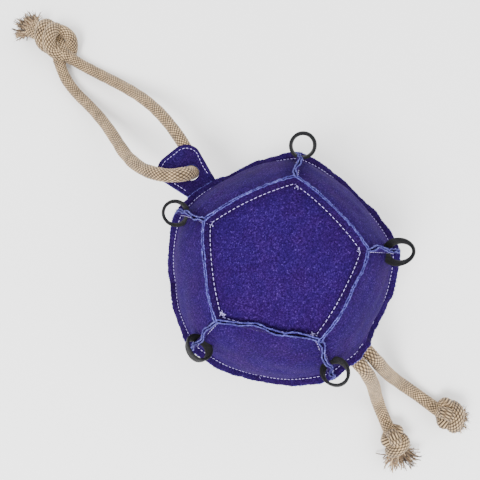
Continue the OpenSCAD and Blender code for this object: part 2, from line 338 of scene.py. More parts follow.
def spline(points, step):
    """A smooth curve through points, as points a step apart."""
    p = np.asarray(points, float)
    p = np.vstack([2 * p[0] - p[1], p, 2 * p[-1] - p[-2]])
    out = []
    for a, b, c, d in zip(p, p[1:], p[2:], p[3:]):
        t = np.linspace(0, 1, 24, endpoint=False)[:, None]
        square, cube = 2 * a - 5 * b + 4 * c - d, 3 * b - a - 3 * c + d
        out.append(0.5 * (2 * b + (c - a) * t + square * t**2 + cube * t**3))
    dense = np.vstack([*out, p[-2:-1]])
    return resample(dense, step)


def run_along(path):
    """Distance along a path at each of its points."""
    return np.concatenate([[0], np.cumsum(np.linalg.norm(np.diff(path, axis=0), axis=1))])


def resample(dense, step):
    run = run_along(dense)
    n = max(int(round(run[-1] / step)), 2) + 1
    at = np.linspace(0, run[-1], n)
    return np.stack([np.interp(at, run, dense[:, k]) for k in range(3)], 1)


def frames(path):
    """Side and up vectors along a path, turning as little as they can."""
    tangent = unit(np.gradient(path, axis=0))
    side = np.zeros_like(path)
    s = np.cross(tangent[0], (0.3, 0.2, 1.0))
    for k, t in enumerate(tangent):
        s = unit(s - t * (s @ t))
        side[k] = s
    return side, np.cross(tangent, side)


def tube(soup, path, radii, sides, mat=0, value=0.6, caps=True):
    side, up = frames(path)
    radii = np.broadcast_to(radii, len(path))[:, None, None]
    a = np.linspace(0, 2 * math.pi, sides, endpoint=False)[None, :, None]
    ring = path[:, None] + radii * (np.cos(a) * side[:, None] + np.sin(a) * up[:, None])
    if caps:
        start, end = (np.repeat(p[:, None], sides, 1) for p in (path[:1], path[-1:]))
        ring = np.concatenate([start, ring, end])
    soup.grid(ring, mat, value)


BRAID_SIDES = 84  # points round the rope
BRAID_STRANDS = 12  # strands that wind each way
BRAID_TURN = 0.9 / 5.0  # radians that a strand winds in each mm


def braid(soup, path, radius, phase=0.0):
    """A braided rope: two families of strands wind round the path and pass over and under each other."""
    side, up = frames(path)
    run = run_along(path)[:, None]
    radius = np.broadcast_to(radius, len(path))[:, None]
    a = np.linspace(0, 2 * math.pi, BRAID_SIDES, endpoint=False)[None]
    u = BRAID_STRANDS * (a + BRAID_TURN * run) / (2 * math.pi) + phase
    v = BRAID_STRANDS * (a - BRAID_TURN * run) / (2 * math.pi) + phase
    fu, fv = u % 1, v % 1
    over = (np.floor(u) + np.floor(v)) % 2 < 1
    across, along = np.where(over, fu, fv), np.where(over, fv, fu)
    rise = np.sqrt(np.maximum(1 - (2 * across - 1) ** 2, 0)) ** 0.8 * (0.62 + 0.38 * np.sin(math.pi * along))
    r = radius * (0.78 + 0.25 * rise) + 0.12 * lumps(run, 9.0, 5)[:, None]
    cos, sin = np.cos(a)[..., None], np.sin(a)[..., None]
    ring = path[:, None] + r[..., None] * (cos * side[:, None] + sin * up[:, None])
    # rise also goes into the strand attribute, from which the rope material paints shade in the low places
    # between the strands; the end caps get a low value and come out dark.
    soup.grid(ring, 0, rise)
    fan = [[j, (j + 1) % BRAID_SIDES, BRAID_SIDES] for j in range(BRAID_SIDES)]
    for k in (0, len(path) - 1):
        soup.add(np.concatenate([ring[k], path[k : k + 1]]), fan if k else [f[::-1] for f in fan], 0, 0.3)


def pellets(soup, centres, along, out, half_lens):
    """Many small rounded stitches at once."""
    sides, rings, half_w, half_t = 8, 6, 0.2, 0.22
    across = np.cross(out, along)
    t = np.linspace(-1, 1, rings)[:, None, None]
    r = np.sqrt(np.maximum(1 - t**4, 0.02))
    a = np.linspace(0, 2 * math.pi, sides, endpoint=False)[None, :, None]
    corners = list(range(sides))
    for c, x, y, z, half_len in zip(centres, along, across, out, half_lens):
        ring = c + half_len * t * x + r * (half_w * np.cos(a) * y + half_t * np.sin(a) * z)
        soup.grid(ring)
        soup.add(ring[0], [corners[::-1]])
        soup.add(ring[-1], [corners])


def hairs(soup, roots, directions, lengths, radius, curl, seed, mat=0, value=0.6):
    """Fine loose fibres that taper and curl, and stay above the table."""
    steps, sides, lowest = 3, 3, 0.2
    r = np.random.default_rng(seed)
    for p, d, length in zip(roots, directions, lengths):
        bend = r.normal(size=3) * curl
        path = [np.asarray(p, float)]
        d = np.asarray(d, float)
        for _ in range(steps):
            path.append(path[-1] + unit(d) * length / steps)
            d = unit(d) + bend / steps
        path = np.array(path)
        path[:, 2] = np.maximum(path[:, 2], lowest)
        tube(soup, path, radius * np.linspace(1, 0.35, len(path)), sides, mat, value, caps=False)


# ------------ camera, light and floor


def add_camera(place, right, forward):
    camera = add_object("camera", bpy.data.cameras.new("camera"))
    right, forward = unit(right), unit(forward)
    up = np.cross(right, forward)
    rows = [(right[k], up[k], -forward[k], place[k]) for k in range(3)]
    camera.matrix_world = Matrix([*rows, (0, 0, 0, 1)])
    camera.data.lens = 35.5
    camera.data.sensor_width = 36
    camera.data.clip_start = 0.01
    bpy.context.scene.camera = camera


def add_world(strength):
    world = bpy.data.worlds.new("studio")
    world.use_nodes = True
    world.node_tree.nodes["Background"].inputs["Color"].default_value = (1, 1, 1, 1)
    world.node_tree.nodes["Background"].inputs["Strength"].default_value = strength
    bpy.context.scene.world = world


def area_light(name, place, power, size):
    """A square lamp aimed at the ball."""
    lamp = bpy.data.lights.new(name, "AREA")
    lamp.energy = power
    lamp.size = size
    obj = add_object(name, lamp)
    obj.location = place
    obj.rotation_euler = (Vector((0, 0, 0.04)) - Vector(place)).to_track_quat("-Z", "Y").to_euler()


def add_floor(half, z):
    soup = Soup()
    soup.add([[-half, -half, z], [half, -half, z], [half, half, z], [-half, half, z]], [[0, 1, 2, 3]])
    pale, _, shader = new_material("pale_floor", 0.9)
    shader.inputs["Base Color"].default_value = (0.96, 0.96, 0.96, 1)
    soup.mesh("floor", [pale])


add_camera((-0.01910, -0.01345, 0.40530), (0.72912, -0.68105, -0.06744), (0.03766, 0.13832, -0.98967))
add_world(1.9)
area_light("key", (-0.72, -0.15, 1.3), 34, 0.6)
area_light("soft_fill", (0.9, -0.6, 1.1), 12, 1.2)
add_floor(2500, -0.3)

# ------------ ropes

PULL_ROUTE = [
    [-8, 281, 11], [-14, 272, 8], [-18.5, 259, 6], [-20, 243, 6.5], [-19.5, 226, 10],
    [-19.5, 208, 16], [-20.5, 190, 24], [-22.5, 171, 34], [-24.5, 153, 45], [-24.5, 138, 55.5],
    [-22.5, 124, 65.2], [-18.5, 113, 71.8], [-13, 104, 75.2], [-7, 98.5, 75], [-2, 96.5, 70.8],
    [1.5, 96.5, 64], [4, 98, 57.5], [7, 102, 52], [10, 109, 48.5], [13.5, 120, 47],
    [16, 133, 44.5], [18, 148, 40], [19, 164, 34.5], [18.5, 182, 27.5], [16.5, 200, 19.5],
    [13, 218, 13], [8.5, 236, 8], [3.5, 253, 6], [-0.5, 266, 7], [-3, 276, 10],
]
LEFT_ROUTE = [
    [-5.2, -88.5, 65.5], [-5.6, -95, 60], [-6.4, -101.5, 51], [-7.2, -107.5, 41.5],
    [-8.4, -113, 32], [-10, -118.5, 22.5], [-12, -125, 13.5], [-14.4, -132, 7.5],
    [-17, -139, 5.2], [-19.6, -145.5, 5.2], [-22, -151, 8],
]
RIGHT_ROUTE = [
    [5.2, -88.5, 59.2], [5.5, -95, 54], [5.9, -102, 45], [6.5, -109, 35.5],
    [7.4, -116, 26], [8.8, -123.5, 17], [10.6, -132, 10], [12.6, -141, 6],
    [14.4, -149.5, 5.2], [15.8, -157.5, 5.2], [17.2, -165, 8],
]
# what the two ends of the pull rope do beyond their routes, inside and behind the knot
FIRST_END = [[-6, 284, 16], [-5, 290, 13], [-6.5, 299, 13], [-9.5, 308, 13.5], [-12.5, 316, 13]]
SECOND_END = [[-1, 284, 11], [0.5, 290, 11], [-0.5, 299, 13], [-2.5, 307, 14], [-5.5, 315, 13.5]]
# the knot's lowest turn, as steps across, along and up from the knot's middle
PULL_LOBE = [
    (-6, 3, 3), (-10.2, -4, 1), (-8.8, -10, -4), (0, -13, -9), (8.8, -10.5, -4), (10.2, -4, 1), (6, 3, 3),
]
TAIL_ROOT_Y = -77.0
TAIL_EXIT_Y = -83.0
STEP = 0.55


def wrapped_knot(soup, cores, centre, along, radius, strand, length, seed, plies=(0,), end=585, core_r=None):
    """A tight overhand knot: cores of rope under a collar that winds round them, from -70 to end degrees.

    Past 370 degrees the collar dives under its start. Each of plies is one collar's shift along the knot."""
    r = np.random.default_rng(seed)
    count = 60
    along = unit(along)
    side = unit(np.cross(along, [0, 0, 1.0]))
    upward = np.cross(side, along)
    th = np.radians(np.linspace(-70, end, count))
    run = length * (0.5 - (np.degrees(th) - 90) / 360)
    dip = smooth((np.degrees(th) - 370) / 50) * smooth((545 - np.degrees(th)) / 50)
    x = radius * np.cos(th) * (1 + 0.05 * np.sin(2.3 * th + seed))
    z = radius * np.sin(th) * (1 - 1.9 * dip) * 0.97
    from_ends = np.minimum(np.linspace(0, 8, count), np.linspace(8, 0, count))
    pull_in = 0.35 + 0.65 * smooth(from_ends)
    x, z = x * pull_in, z * pull_in
    run = run + 0.08 * length * np.sin(th + 0.6)
    for k, shift in enumerate(plies):
        path = (x[:, None] * side + z[:, None] * upward) * (1 - 0.05 * k) + (run + shift)[:, None] * along
        braid(soup, spline(centre + path, STEP), strand, r.uniform(0, 1))
    for core in cores:
        braid(soup, spline(core, STEP), core_r or strand, r.uniform(0, 1))


def yarns(soup, root, direction, spread, count, length, radius, seed, flat, droop):
    """A brush of frayed yarns that fans out from a cut rope end, each with two loose hairs."""
    steps, lowest = 7, 0.4
    r = np.random.default_rng(seed)
    direction = unit(direction)
    side = unit(np.cross(direction, [0, 0, 1.0]))
    upward = np.cross(side, direction)
    for k in range(count):
        a, q = r.uniform(0, 2 * math.pi), math.sqrt(r.uniform(0.02, 1))
        sideways = math.cos(a) * side + flat * math.sin(a) * upward
        d = unit(direction + spread * q * sideways + r.normal(size=3) * 0.14)
        reach = length * r.uniform(0.55, 1.08) * (1.05 - 0.2 * q)
        p, path = np.asarray(root, float) + radius * q * sideways, []
        bend = r.normal(size=3) * 0.22
        for _ in range(steps):
            path.append(p.copy())
            p = p + d * reach / steps
            d = unit(d + bend / 2 + r.normal(size=3) * 0.09 - np.array([0, 0, droop / steps]))
            p[2] = max(p[2], lowest)
        path.append(p)
        path = np.array(path)
        thick = r.uniform(0.42, 0.8)
        shade = r.uniform(0.35, 1.0)
        tube(soup, path, thick * np.linspace(1, 0.55, len(path)), 5, 0, shade)
        for _ in range(2):
            foot = path[-2] + r.normal(size=3) * 0.3
            away = d + r.normal(size=3) * 0.7
            hairs(soup, [foot], [away], [r.uniform(2, 5)], 0.13, 0.5, seed * 1000 + k, 0, shade)


def tail_rope(side, path, seed):
    """A tail's rope, held by the ball inside the seam."""
    soup = Soup()
    braid(soup, path, ROPE_R, seed * 0.3)
    rope = soup.mesh(side + "_tail_braid", [ROPE])
    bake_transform(rope)
    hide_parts(side + "_tail_rope", "tail_roots")
    return rope


def tail_knot(side, path, mid, along, knot, seed):
    """The overhand knot on a tail; knot is its collar's radius, its strand's radius and its length."""
    core = [path[-14], path[-1] + (0, 0, 3.4)]
    core += [mid + along * run + (0, 0, up) for run, up in ((-4.6, 6.0), (-0.2, 4.8), (3.6, -1.5), (9, -2))]
    soup = Soup()
    wrapped_knot(soup, [core], mid, along, *knot, seed, core_r=4.95)
    return attach(soup.mesh(side + "_tail_overhand", [ROPE]), side + "_tail", "rope", side + "_tail_knot")


def tail_fray(side, root, seed, away, spread, count, length, flat, droop):
    soup = Soup()
    yarns(soup, root, away, spread, count, length, ROPE_R, seed, flat, droop)
    return attach(soup.mesh(side + "_tail_fray", [YARN]), side + "_tail", "rope")


def tail(side, sign, route, mid, seed, knot, **tuft):
    """One tail: rope, knot and brushed end. sign says on which side of the seam's middle it comes out."""
    root_x, root_z = sign * TAIL_E * math.cos(LEAN), BALL_Z - sign * TAIL_E * math.sin(LEAN)
    path = spline([[root_x, TAIL_ROOT_Y, root_z], [root_x, TAIL_EXIT_Y, root_z]] + route, STEP)
    rope = tail_rope(side, path, seed)
    mid = np.array(mid, float)
    along = unit((mid - path[-14]) * [1, 1, 0])
    overhand = tail_knot(side, path, mid, along, knot, seed)
    fray = tail_fray(side, mid + along * 6.5 - (0, 0, 1), seed, **tuft)


def pull_rope(path):
    last = len(path) - 1
    radii = np.interp(np.arange(len(path)), [0, 12, last - 12, last], [4.5, ROPE_R, ROPE_R, 4.5])
    soup = Soup()
    braid(soup, path, radii)
    return attach(soup.mesh("pull_rope_braid", [ROPE]), "pull_rope", "rope", "pull_rope")


def pull_knot(path):
    mid = np.array([-1.5, 290.5, 15.4])
    along = unit([-0.31, 0.95, 0])
    across = np.array([along[1], -along[0], 0])
    first = [path[14], path[0], *FIRST_END]
    second = [path[-15], path[-1], *SECOND_END]
    lobe = [mid + a * across + b * along + np.array([0, 0, c]) for a, b, c in PULL_LOBE]
    soup = Soup()
    wrapped_knot(soup, [first, second, lobe], mid, along, 9.9, 5.4, 10.0, 9, plies=(-6.0, 3.0), end=285)
    return attach(soup.mesh("pull_overhand", [ROPE]), "pull_rope", "rope", "pull_knot")


def pull_fray():
    soup = Soup()
    yarns(soup, FIRST_END[-1], (-0.5, 0.9, 0.0), 0.5, 170, 14, 4.6, 21, 0.9, 0.05)
    yarns(soup, SECOND_END[-1], (-0.2, 0.95, 0.05), 0.5, 170, 12.5, 4.6, 22, 0.9, 0.05)
    return attach(soup.mesh("pull_fray", [YARN]), "pull_rope", "rope")


def pull_handle():
    path = spline(PULL_ROUTE, STEP)
    rope, knot, fray = pull_rope(path), pull_knot(path), pull_fray()


tail("left", -1, LEFT_ROUTE, (-24.0, -157, 11.6), 3, knot=(6.4, 4.5, 8.0),
     away=(-0.55, -1, -0.12), spread=0.9, count=150, length=18, flat=0.5, droop=0.3)
tail("right", 1, RIGHT_ROUTE, (20.5, -171, 12.4), 5, knot=(7.4, 4.7, 7.0),
     away=(0.5, -1, 0.15), spread=1.1, count=130, length=9, flat=1.0, droop=0.1)
pull_handle()

# ------------ suede panels and their raised seams


def seam_curve(phi, height):
    """Points (y, z) in a seam's plane, at angle phi about the ball's middle and height above the stitches."""
    r = -ARC_DROP * np.cos(phi) + np.sqrt((ARC_R + height) ** 2 - (ARC_DROP * np.sin(phi)) ** 2)
    return np.stack([r * np.sin(phi), r * np.cos(phi)], -1)


def in_frame(yz):
    """Points (0, y, z) in the seam's frame."""
    return np.concatenate([np.zeros((len(yz), 1)), yz], 1)


# each panel's name, tilt, turn and the directions of its seams, in degrees
PANELS = [("top_panel", 0.0, 0.0, [0, 72, 144, 216, 288])]
for n in range(1, 6):
    PANELS.append((f"upper_panel_{n}", UPPER_TILT, math.radians(72 * n), [36, 108, 180, 252, 324]))
for n in range(1, 6):
    PANELS.append((f"lower_panel_{n}", LOWER_TILT, math.radians(72 * n + 36), [72, 144, 216, 288]))


def seam_kind(panel, mid):
    if panel == "top_panel":
        return "top"
    if panel.startswith("upper"):
        return "upper" if mid in (108, 252) else "middle"
    return "lower"


def lean_of(kind, azimuth, spin):
    """How far a fin leans over, in degrees, towards +x of the frame of the first panel that has it."""
    if kind == "top":
        return -46.0 if abs(azimuth - 216) < 20 else 17.0
    if kind == "middle":  # hangs down a little
        return 15.0 if (spin @ [1, 0, 0])[2] < 0 else -15.0
    return 0.0


def find_seams():
    """Every seam between two panels above the base, and on which side of it each panel lies."""
    found = {}
    for name, tilt, turn, mids in PANELS:
        for mid in mids:
            spin = rot_z(turn) @ rot_y(tilt) @ rot_z(math.radians(mid)) @ rot_y(LEAN)
            middle = spin @ [0, 0, seam_curve(0.0, 0)[1]] + CENTRE
            key = tuple(np.round(middle, 1) + 0.0)
            if key in found:
                found[key]["sides"][name] = 1
                continue
            kind = seam_kind(name, mid)
            azimuth = math.degrees(math.atan2(middle[1], middle[0])) % 360
            found[key] = dict(kind=kind, spin=spin, lean=lean_of(kind, azimuth, spin), sides={name: -1},
                              seed=len(found) + 1, tab=kind == "middle" and abs(azimuth - 90) < 3,
                              tail=kind == "middle" and abs(azimuth - 270) < 3)
    assert len(found) == 25, len(found)
    return list(found.values())


SEAMS = find_seams()
HEIGHTS = np.array([-1.0, 0.0, 0.7, 1.3, 1.9, 2.8, 3.8, 4.8, 5.5, 6.0])  # rows of a fin, above its stitches
COLS = 96  # columns of a fin, along its seam
APART = 0.12  # half the gap between the two layers of a fin
# how far each kind of fin waves from side to side: (degrees, length of a wave), long waves and short ones
WAVES = {
    "top": ((6, 20), (1.6, 7)),
    "upper": ((13, 15), (6, 6)),
    "middle": ((11, 24), (4, 8)),
    "lower": ((6, 20), (1.6, 7)),
}


def spread_of(seam, e):
    """Half the gap between the fin's two layers, at distance e along the seam from its middle."""
    if seam["tab"]:
        return APART + 1.25 * smooth((15.5 - np.abs(e)) / 2.5)
    if seam["tail"]:
        round_rope = np.sqrt(np.maximum(5.3**2 - (np.abs(e) - TAIL_E) ** 2, 0))
        skirt = 3.2 * np.exp(-(np.maximum(np.abs(e) - 9.5, 0) / 3.2) ** 2)
        return APART + np.maximum(round_rope, np.where(np.abs(e) < 9.5, 3.6, skirt))
    return np.full_like(e, APART)


def fin_shape(seam, phi):
    """What both layers of a fin share: stitch line, outward direction, lean and height, at each phi."""
    seed = seam["seed"]
    base, tip = seam_curve(phi, 0), seam_curve(phi, ALLOW)
    e = base[:, 0]
    window = 0.3 + 0.7 * np.clip(1 - (phi / HALF) ** 4, 0, 1)
    (large, long), (small, short) = WAVES[seam["kind"]]
    wave = large * lumps(e, long, seed * 7) + small * lumps(e, short, seed * 7 + 1)
    if seam["kind"] == "top" and seam["lean"] < 0:
        wave = wave * 1.9
    lean = np.radians(seam["lean"] * window + wave * (0.4 + 0.6 * window))
    if seam["tab"] or seam["tail"]:
        lean = lean * (1 - 0.9 * smooth((24 - np.abs(e)) / 8))
    tall = 0.93 + 0.05 * lumps(e, 13, seed * 7 + 2) + 0.018 * lumps(e, 2.2, seed * 7 + 3)
    return dict(e=e, base=in_frame(base), out=in_frame((tip - base) / ALLOW), lean=lean, tall=tall)


def layer_points(seam, shape, side, heights, depth):
    """World points on one layer. For each height, depth is 0 on its inner face and 1 on its outer face."""
    e, seed = shape["e"], seam["seed"]
    h = heights[None, :] * shape["tall"][:, None]
    bend = smooth((h - 0.4) / 3.0) * shape["lean"][:, None]
    step = np.diff(h, axis=1, prepend=0.0)
    rise, shift = np.cumsum(step * np.cos(bend), 1), np.cumsum(step * np.sin(bend), 1)
    part = (0.12 + 0.5 * np.abs(lumps(e, 12, seed * 7 + 4)))[:, None] * smooth((h - 2.2) / 4)
    thick = 1.2 - 0.3 * np.exp(-(((h - 1.3) / 0.55) ** 2)) - 0.45 * smooth((h - 2.5) / 3.5)
    off = spread_of(seam, e)[:, None] + part + thick * depth[None, :]
    x = shift + side * off * np.cos(bend)
    z = rise - side * off * np.sin(bend)
    local = shape["base"][:, None] + shape["out"][:, None] * z[..., None]
    local[..., 0] += x
    return local @ seam["spin"].T + CENTRE


def rim_hairs(soup, seam, side, points):
    """Loose fibres on the raw rim of one layer of a fin."""
    r = np.random.default_rng(seam["seed"] * 11 + side)
    count, rows = 110, len(HEIGHTS)
    col, row = r.integers(0, COLS, count), rows + r.integers(-1, 4, count)
    outward = unit(points[col, rows + 1] - points[col, rows - 4]) + r.normal(size=(count, 3)) * 0.6
    lengths = r.uniform(0.4, 1.2, count)
    hairs(soup, points[col, row], outward, lengths, 0.065, 0.9, seam["seed"] * 13 + side, 1)


def add_layer(soup, seam, side):
    """One layer of a fin, a closed strip. Materials 0 and 2 are its suede faces, 2 a darker copy with painted
    shade, and 1 its raw rim and ends.
    """
    rows = len(HEIGHTS)
    heights = np.concatenate([HEIGHTS, [6.25, 6.4, 6.25], HEIGHTS[::-1]])
    depth = np.concatenate([np.ones(rows), [0.82, 0.5, 0.18], np.zeros(rows)])
    rough = np.random.default_rng(seam["seed"] * 3 + side).normal(size=COLS) * 0.22
    shape = fin_shape(seam, np.linspace(-HALF, HALF, COLS))
    shape["tall"] = shape["tall"] + rough / ALLOW * 0.4
    points = layer_points(seam, shape, side, heights, depth)
    jag = np.random.default_rng(seam["seed"] * 5 + side).normal(size=points.shape) * 0.11
    points = points + jag * (heights > 5.4)[None, :, None]
    points[..., 2] = np.maximum(points[..., 2], 1.5)
    # Top and middle fins take material 2, the darker suede copy: painted shade.
    mats = np.full((COLS - 1, len(heights)), 2 if seam["kind"] in ("top", "middle") else 0)
    mats[:, rows - 1 : rows + 3] = 1
    soup.grid(points, mats, flip=side < 0)
    ring = list(range(len(heights)))
    for k in (0, COLS - 1):
        soup.add(points[k], [ring if (k == 0) != (side < 0) else ring[::-1]], 1)
    rim_hairs(soup, seam, side, points)


def open_up(points, seam_list, name):
    """Pushes a panel's skin aside where the tab or the tails come through its seam."""
    for seam in seam_list:
        if not (seam["tab"] or seam["tail"]):
            continue
        side = seam["sides"][name]
        local = (points - CENTRE) @ seam["spin"]
        x, y, z = local.T
        near = smooth(1 - np.abs(x) / 14.0) * (z > 40)
        gap = spread_of(seam, y) - APART
        local[:, 0] += side * gap * near
        local[:, 2] += 0.25 * gap * near * smooth(np.abs(x) / 4)
        points = local @ seam["spin"].T + CENTRE
    return points


def hash_of(word):
    return sum((k + 3) * ord(c) for k, c in enumerate(word)) % 9973


def foot_point(b, r):
    """Points (x, y) at angle b and radius r about the middle of a lower panel's foot arc."""
    return -FOOT_BACK + r * np.cos(b), r * np.sin(b)


def foot_angles(limit):
    """Angles along a lower panel's foot arc, out to a limit of azimuth in degrees on each side."""
    b = np.linspace(-60, 60, 4001) * math.pi / 180
    x, y = foot_point(b, FOOT_R)
    return b[np.abs(np.degrees(np.arctan2(y, x))) <= limit]


def panel_edge(lower, turn, spin, mids):
    """The closed line of stitches round one panel, in the panel's own frame."""
    edge = []
    for mid in mids:
        curve = in_frame(seam_curve(np.linspace(-HALF, HALF, 400), 0))
        local = curve @ (rot_z(math.radians(mid)) @ rot_y(LEAN)).T
        if lower:
            local = local[(local @ spin.T)[:, 2] + BALL_Z >= BASE_TOP]
        edge.append(resample(local, 58.0 / 34)[:-1])
    if lower:
        b = foot_angles(35.9)
        x, y = foot_point(b, FOOT_R)
        arc = np.stack([x, y, np.full_like(b, BASE_TOP)], 1) @ rot_z(turn).T
        local = (arc - CENTRE) @ spin
        if np.linalg.norm(local[0] - edge[-1][-1]) > np.linalg.norm(local[-1] - edge[-1][-1]):
            local = local[::-1]
        edge.append(resample(local, 1.8)[:-1])
    return np.vstack(edge)


def dome(edge, seed):
    """The stuffed face inside an edge: its points, from the middle outwards, and their outward directions."""
    m, rows = len(edge), 27
    t = 1 - (1 - np.linspace(0.03, 1, rows)) ** 1.25
    xy = t[:, None, None] * edge[None, :, :2]
    z = np.sqrt(DOME_R**2 - (xy**2).sum(-1)) - DROP
    p = np.concatenate([xy, z[..., None]], -1)
    normal = unit(p + [0, 0, DROP])
    inside = (1 - t)[:, None] * np.linalg.norm(edge[:, :2], axis=1)[None, :]
    flat = p.reshape(-1, 3)
    soft = lumps(flat + seed, 22, seed).reshape(rows, m)
    fine = lumps(flat + seed, 8, seed + 1).reshape(rows, m)
    run = np.linspace(0, 2 * math.pi, m, endpoint=False)[None, :] * np.ones((rows, 1))
    pucker = np.sin(run * 44 + 3 * np.sin(run * 5 + seed)) * (0.6 + 0.4 * np.sin(run * 11 + seed))
    fold = np.exp(-(((inside - 3.5) / 4.0) ** 2))
    rise = 1.15 * (1 - np.exp(-inside / 3.5)) * np.exp(-((inside / 26) ** 2))
    rise += (0.55 * soft * smooth(inside / 12) + 0.22 * fine * smooth(inside / 6)
             + 0.38 * pucker * fold * smooth(inside / 1.5))
    return p + normal * rise[..., None], normal


def skin(name, tilt, turn, mids):
    """One panel: its two faces, drawn in to its seams and lumpy with stuffing, and its layer of each fin."""
    lower = name.startswith("lower")
    spin = rot_z(turn) @ rot_y(tilt)
    p, normal = dome(panel_edge(lower, turn, spin, mids), hash_of(name))
    rows, m = p.shape[:2]
    mine = [seam for seam in SEAMS if name in seam["sides"]]
    faces = []
    for face in (p, p - normal * SUEDE_T):
        face = open_up(face.reshape(-1, 3) @ spin.T + CENTRE, mine, name)
        if lower:
            face[:, 2] = np.maximum(face[:, 2], BASE_TOP + 0.02)
        faces.append(face.reshape(rows, m, 3))
    outer, inner = faces
    soup = Soup()
    soup.grid(outer)
    soup.grid(inner, flip=True)
    band = [[j, (j + 1) % m, m + (j + 1) % m, m + j] for j in range(m)]
    soup.add(np.concatenate([outer[-1], inner[-1]]), band)
    fan = [[j, (j + 1) % m, m] for j in range(m)]
    soup.add(np.concatenate([outer[0], outer[0].mean(0, keepdims=True)]), [f[::-1] for f in fan])
    soup.add(np.concatenate([inner[0], inner[0].mean(0, keepdims=True)]), fan)
    for seam in mine:
        add_layer(soup, seam, seam["sides"][name])
    return soup


def foot_strip(soup, turn, upper, seed):
    """The base seam's flat margin: its upper layer is part of a lower panel, its lower layer of the base."""
    cols = 60
    b = foot_angles(35.6)
    b = np.linspace(b[0], b[-1], cols)
    e = b * FOOT_R
    width = ALLOW * (1 + 0.05 * lumps(e, 9, seed) + 0.03 * lumps(e, 2, seed + 1))
    lift = np.abs(lumps(e, 14, seed + 2)) * 0.35 if upper else 0 * e
    across = [-1.2, 0.0, 1.5, 3.0, 4.5, 5.8]
    h = np.concatenate([across, [6.1, 6.2, 6.1], across[::-1]])
    low = 1.38 if upper else 0.02
    z = np.concatenate([np.full(6, low + 1.25), low + np.array([1.0, 0.62, 0.25]), np.full(6, low)])
    x, y = foot_point(b[:, None], FOOT_R + h[None] * (width / ALLOW)[:, None])
    points = np.stack([x, y, z[None] + lift[:, None] * smooth(h / 6)[None]], -1) @ rot_z(turn).T
    mats = np.zeros((cols - 1, len(h)), int)
    mats[:, 5:10] = 1
    soup.grid(points, mats, flip=True)
    ring = list(range(len(h)))
    soup.add(points[0], [ring[::-1]], 1)
    soup.add(points[-1], [ring], 1)


def domed_panel(name, tilt, turn, mids):
    soup = skin(name, tilt, turn, mids)
    if name.startswith("lower"):
        foot_strip(soup, turn, True, hash_of(name))
    piece = attach(soup.mesh("suede_" + name, [SUEDE, RAW, FIN_SUEDE_PAINTED_SHADE]), "ball", "suede", name)


def base_panel():
    """The flat panel that the ball stands on."""
    rings = np.linspace(0.02, 1, 16)
    angles = np.linspace(0, 2 * math.pi, 240, endpoint=False)
    turned = angles % math.radians(72) - math.radians(36)
    rim = -FOOT_BACK * np.cos(turned) + np.sqrt(FOOT_R**2 - (FOOT_BACK * np.sin(turned)) ** 2)
    disc = np.stack([np.outer(rings, rim * np.cos(angles)), np.outer(rings, rim * np.sin(angles)),
                     0.5 + 0.5 * (1 - rings[:, None] ** 2) * np.ones_like(angles)[None]], -1)
    soft = lumps(disc.reshape(-1, 3), 20, 4).reshape(disc.shape[:2])
    under = disc.copy()
    under[..., 2] = 0.03 + 0.25 * (1 - rings[:, None] ** 6) * (0.5 + 0.5 * soft)
    soup = Soup()
    soup.grid(disc + [0, 0, 0.6])
    soup.grid(under, flip=True)
    for n in range(5):
        foot_strip(soup, math.radians(72 * n + 36), False, 50 + n)
    piece = attach(soup.mesh("suede_base_panel", [SUEDE, RAW]), "ball", "suede", "base_panel")


def filling():
    """A soft lump of fibre, flat where it rests on the base panel."""
    mesh = bpy.data.meshes.new("fibre_filling")
    bm = bmesh.new()
    bmesh.ops.create_icosphere(bm, subdivisions=5, radius=1)
    for v in bm.verts:
        q = np.array(v.co)
        r = 69.2 + 0.9 * lumps(q[None] * 70, 12, 77)[0]
        w = q * r + CENTRE
        w[2] = max(w[2], 2.2)
        v.co = Vector(w * MM)
    bm.to_mesh(mesh)
    bm.free()
    mesh.materials.append(FILL)
    mesh.polygons.foreach_set("use_smooth", [True] * len(mesh.polygons))
    attach(add_object("fibre_filling", mesh), "ball", "filling", "filling")


for panel in PANELS:
    domed_panel(*panel)
base_panel()
filling()

# ------------ stitches

STITCH_PITCH = 2.9
STITCH_H = 1.35  # height of the stitch line on a fin
# corners with loose thread ends: direction (flat, high), first azimuth, thread, distance and number of ends
CORNERS = [
    (0.578, 0.797, 36, "top", 80.5, 7),
    (0.9822, 0.1876, 36, "middle", 80.2, 2),
    (0.9822, -0.1876, 0, "middle", 80.2, 2),
]


def stitch_row(soup, points, outward, seed):
    """Lockstitches along a line of points, with small differences between them."""
    r = np.random.default_rng(seed)
    run = run_along(points)
    at = np.arange(2.0, run[-1] - 1.6, STITCH_PITCH)
    at = at + r.uniform(-0.15, 0.15, len(at))

    def pick(values, places):
        return np.stack([np.interp(places, run, values[:, k]) for k in range(3)], 1)

    along = unit(pick(points, at + 0.4) - pick(points, at - 0.4))
    out = unit(pick(outward, at))
    out = unit(out - along * (out * along).sum(1, keepdims=True))
    along = unit(along + np.cross(out, along) * r.uniform(-0.1, 0.1, (len(at), 1)))
    pellets(soup, pick(points, at), along, out, r.uniform(0.88, 1.1, len(at)))


def fin_stitches(threads):
    """A row of stitches on both faces of every fin."""
    for seam in SEAMS:
        shape = fin_shape(seam, np.linspace(-HALF * 0.985, HALF * 0.985, 160))
        for side in (-1, 1):
            face = layer_points(seam, shape, side, np.array([0.9, STITCH_H]), np.ones(2))[:, 1]
            outward = face - layer_points(seam, shape, side, np.array([STITCH_H]), np.zeros(1))[:, 0]
            line = face + unit(outward) * 0.12
            ok = line[:, 2] > 4.5
            if ok.sum() > 20:
                stitch_row(threads[seam["kind"]], line[ok], outward[ok], seam["seed"] * 2 + side)


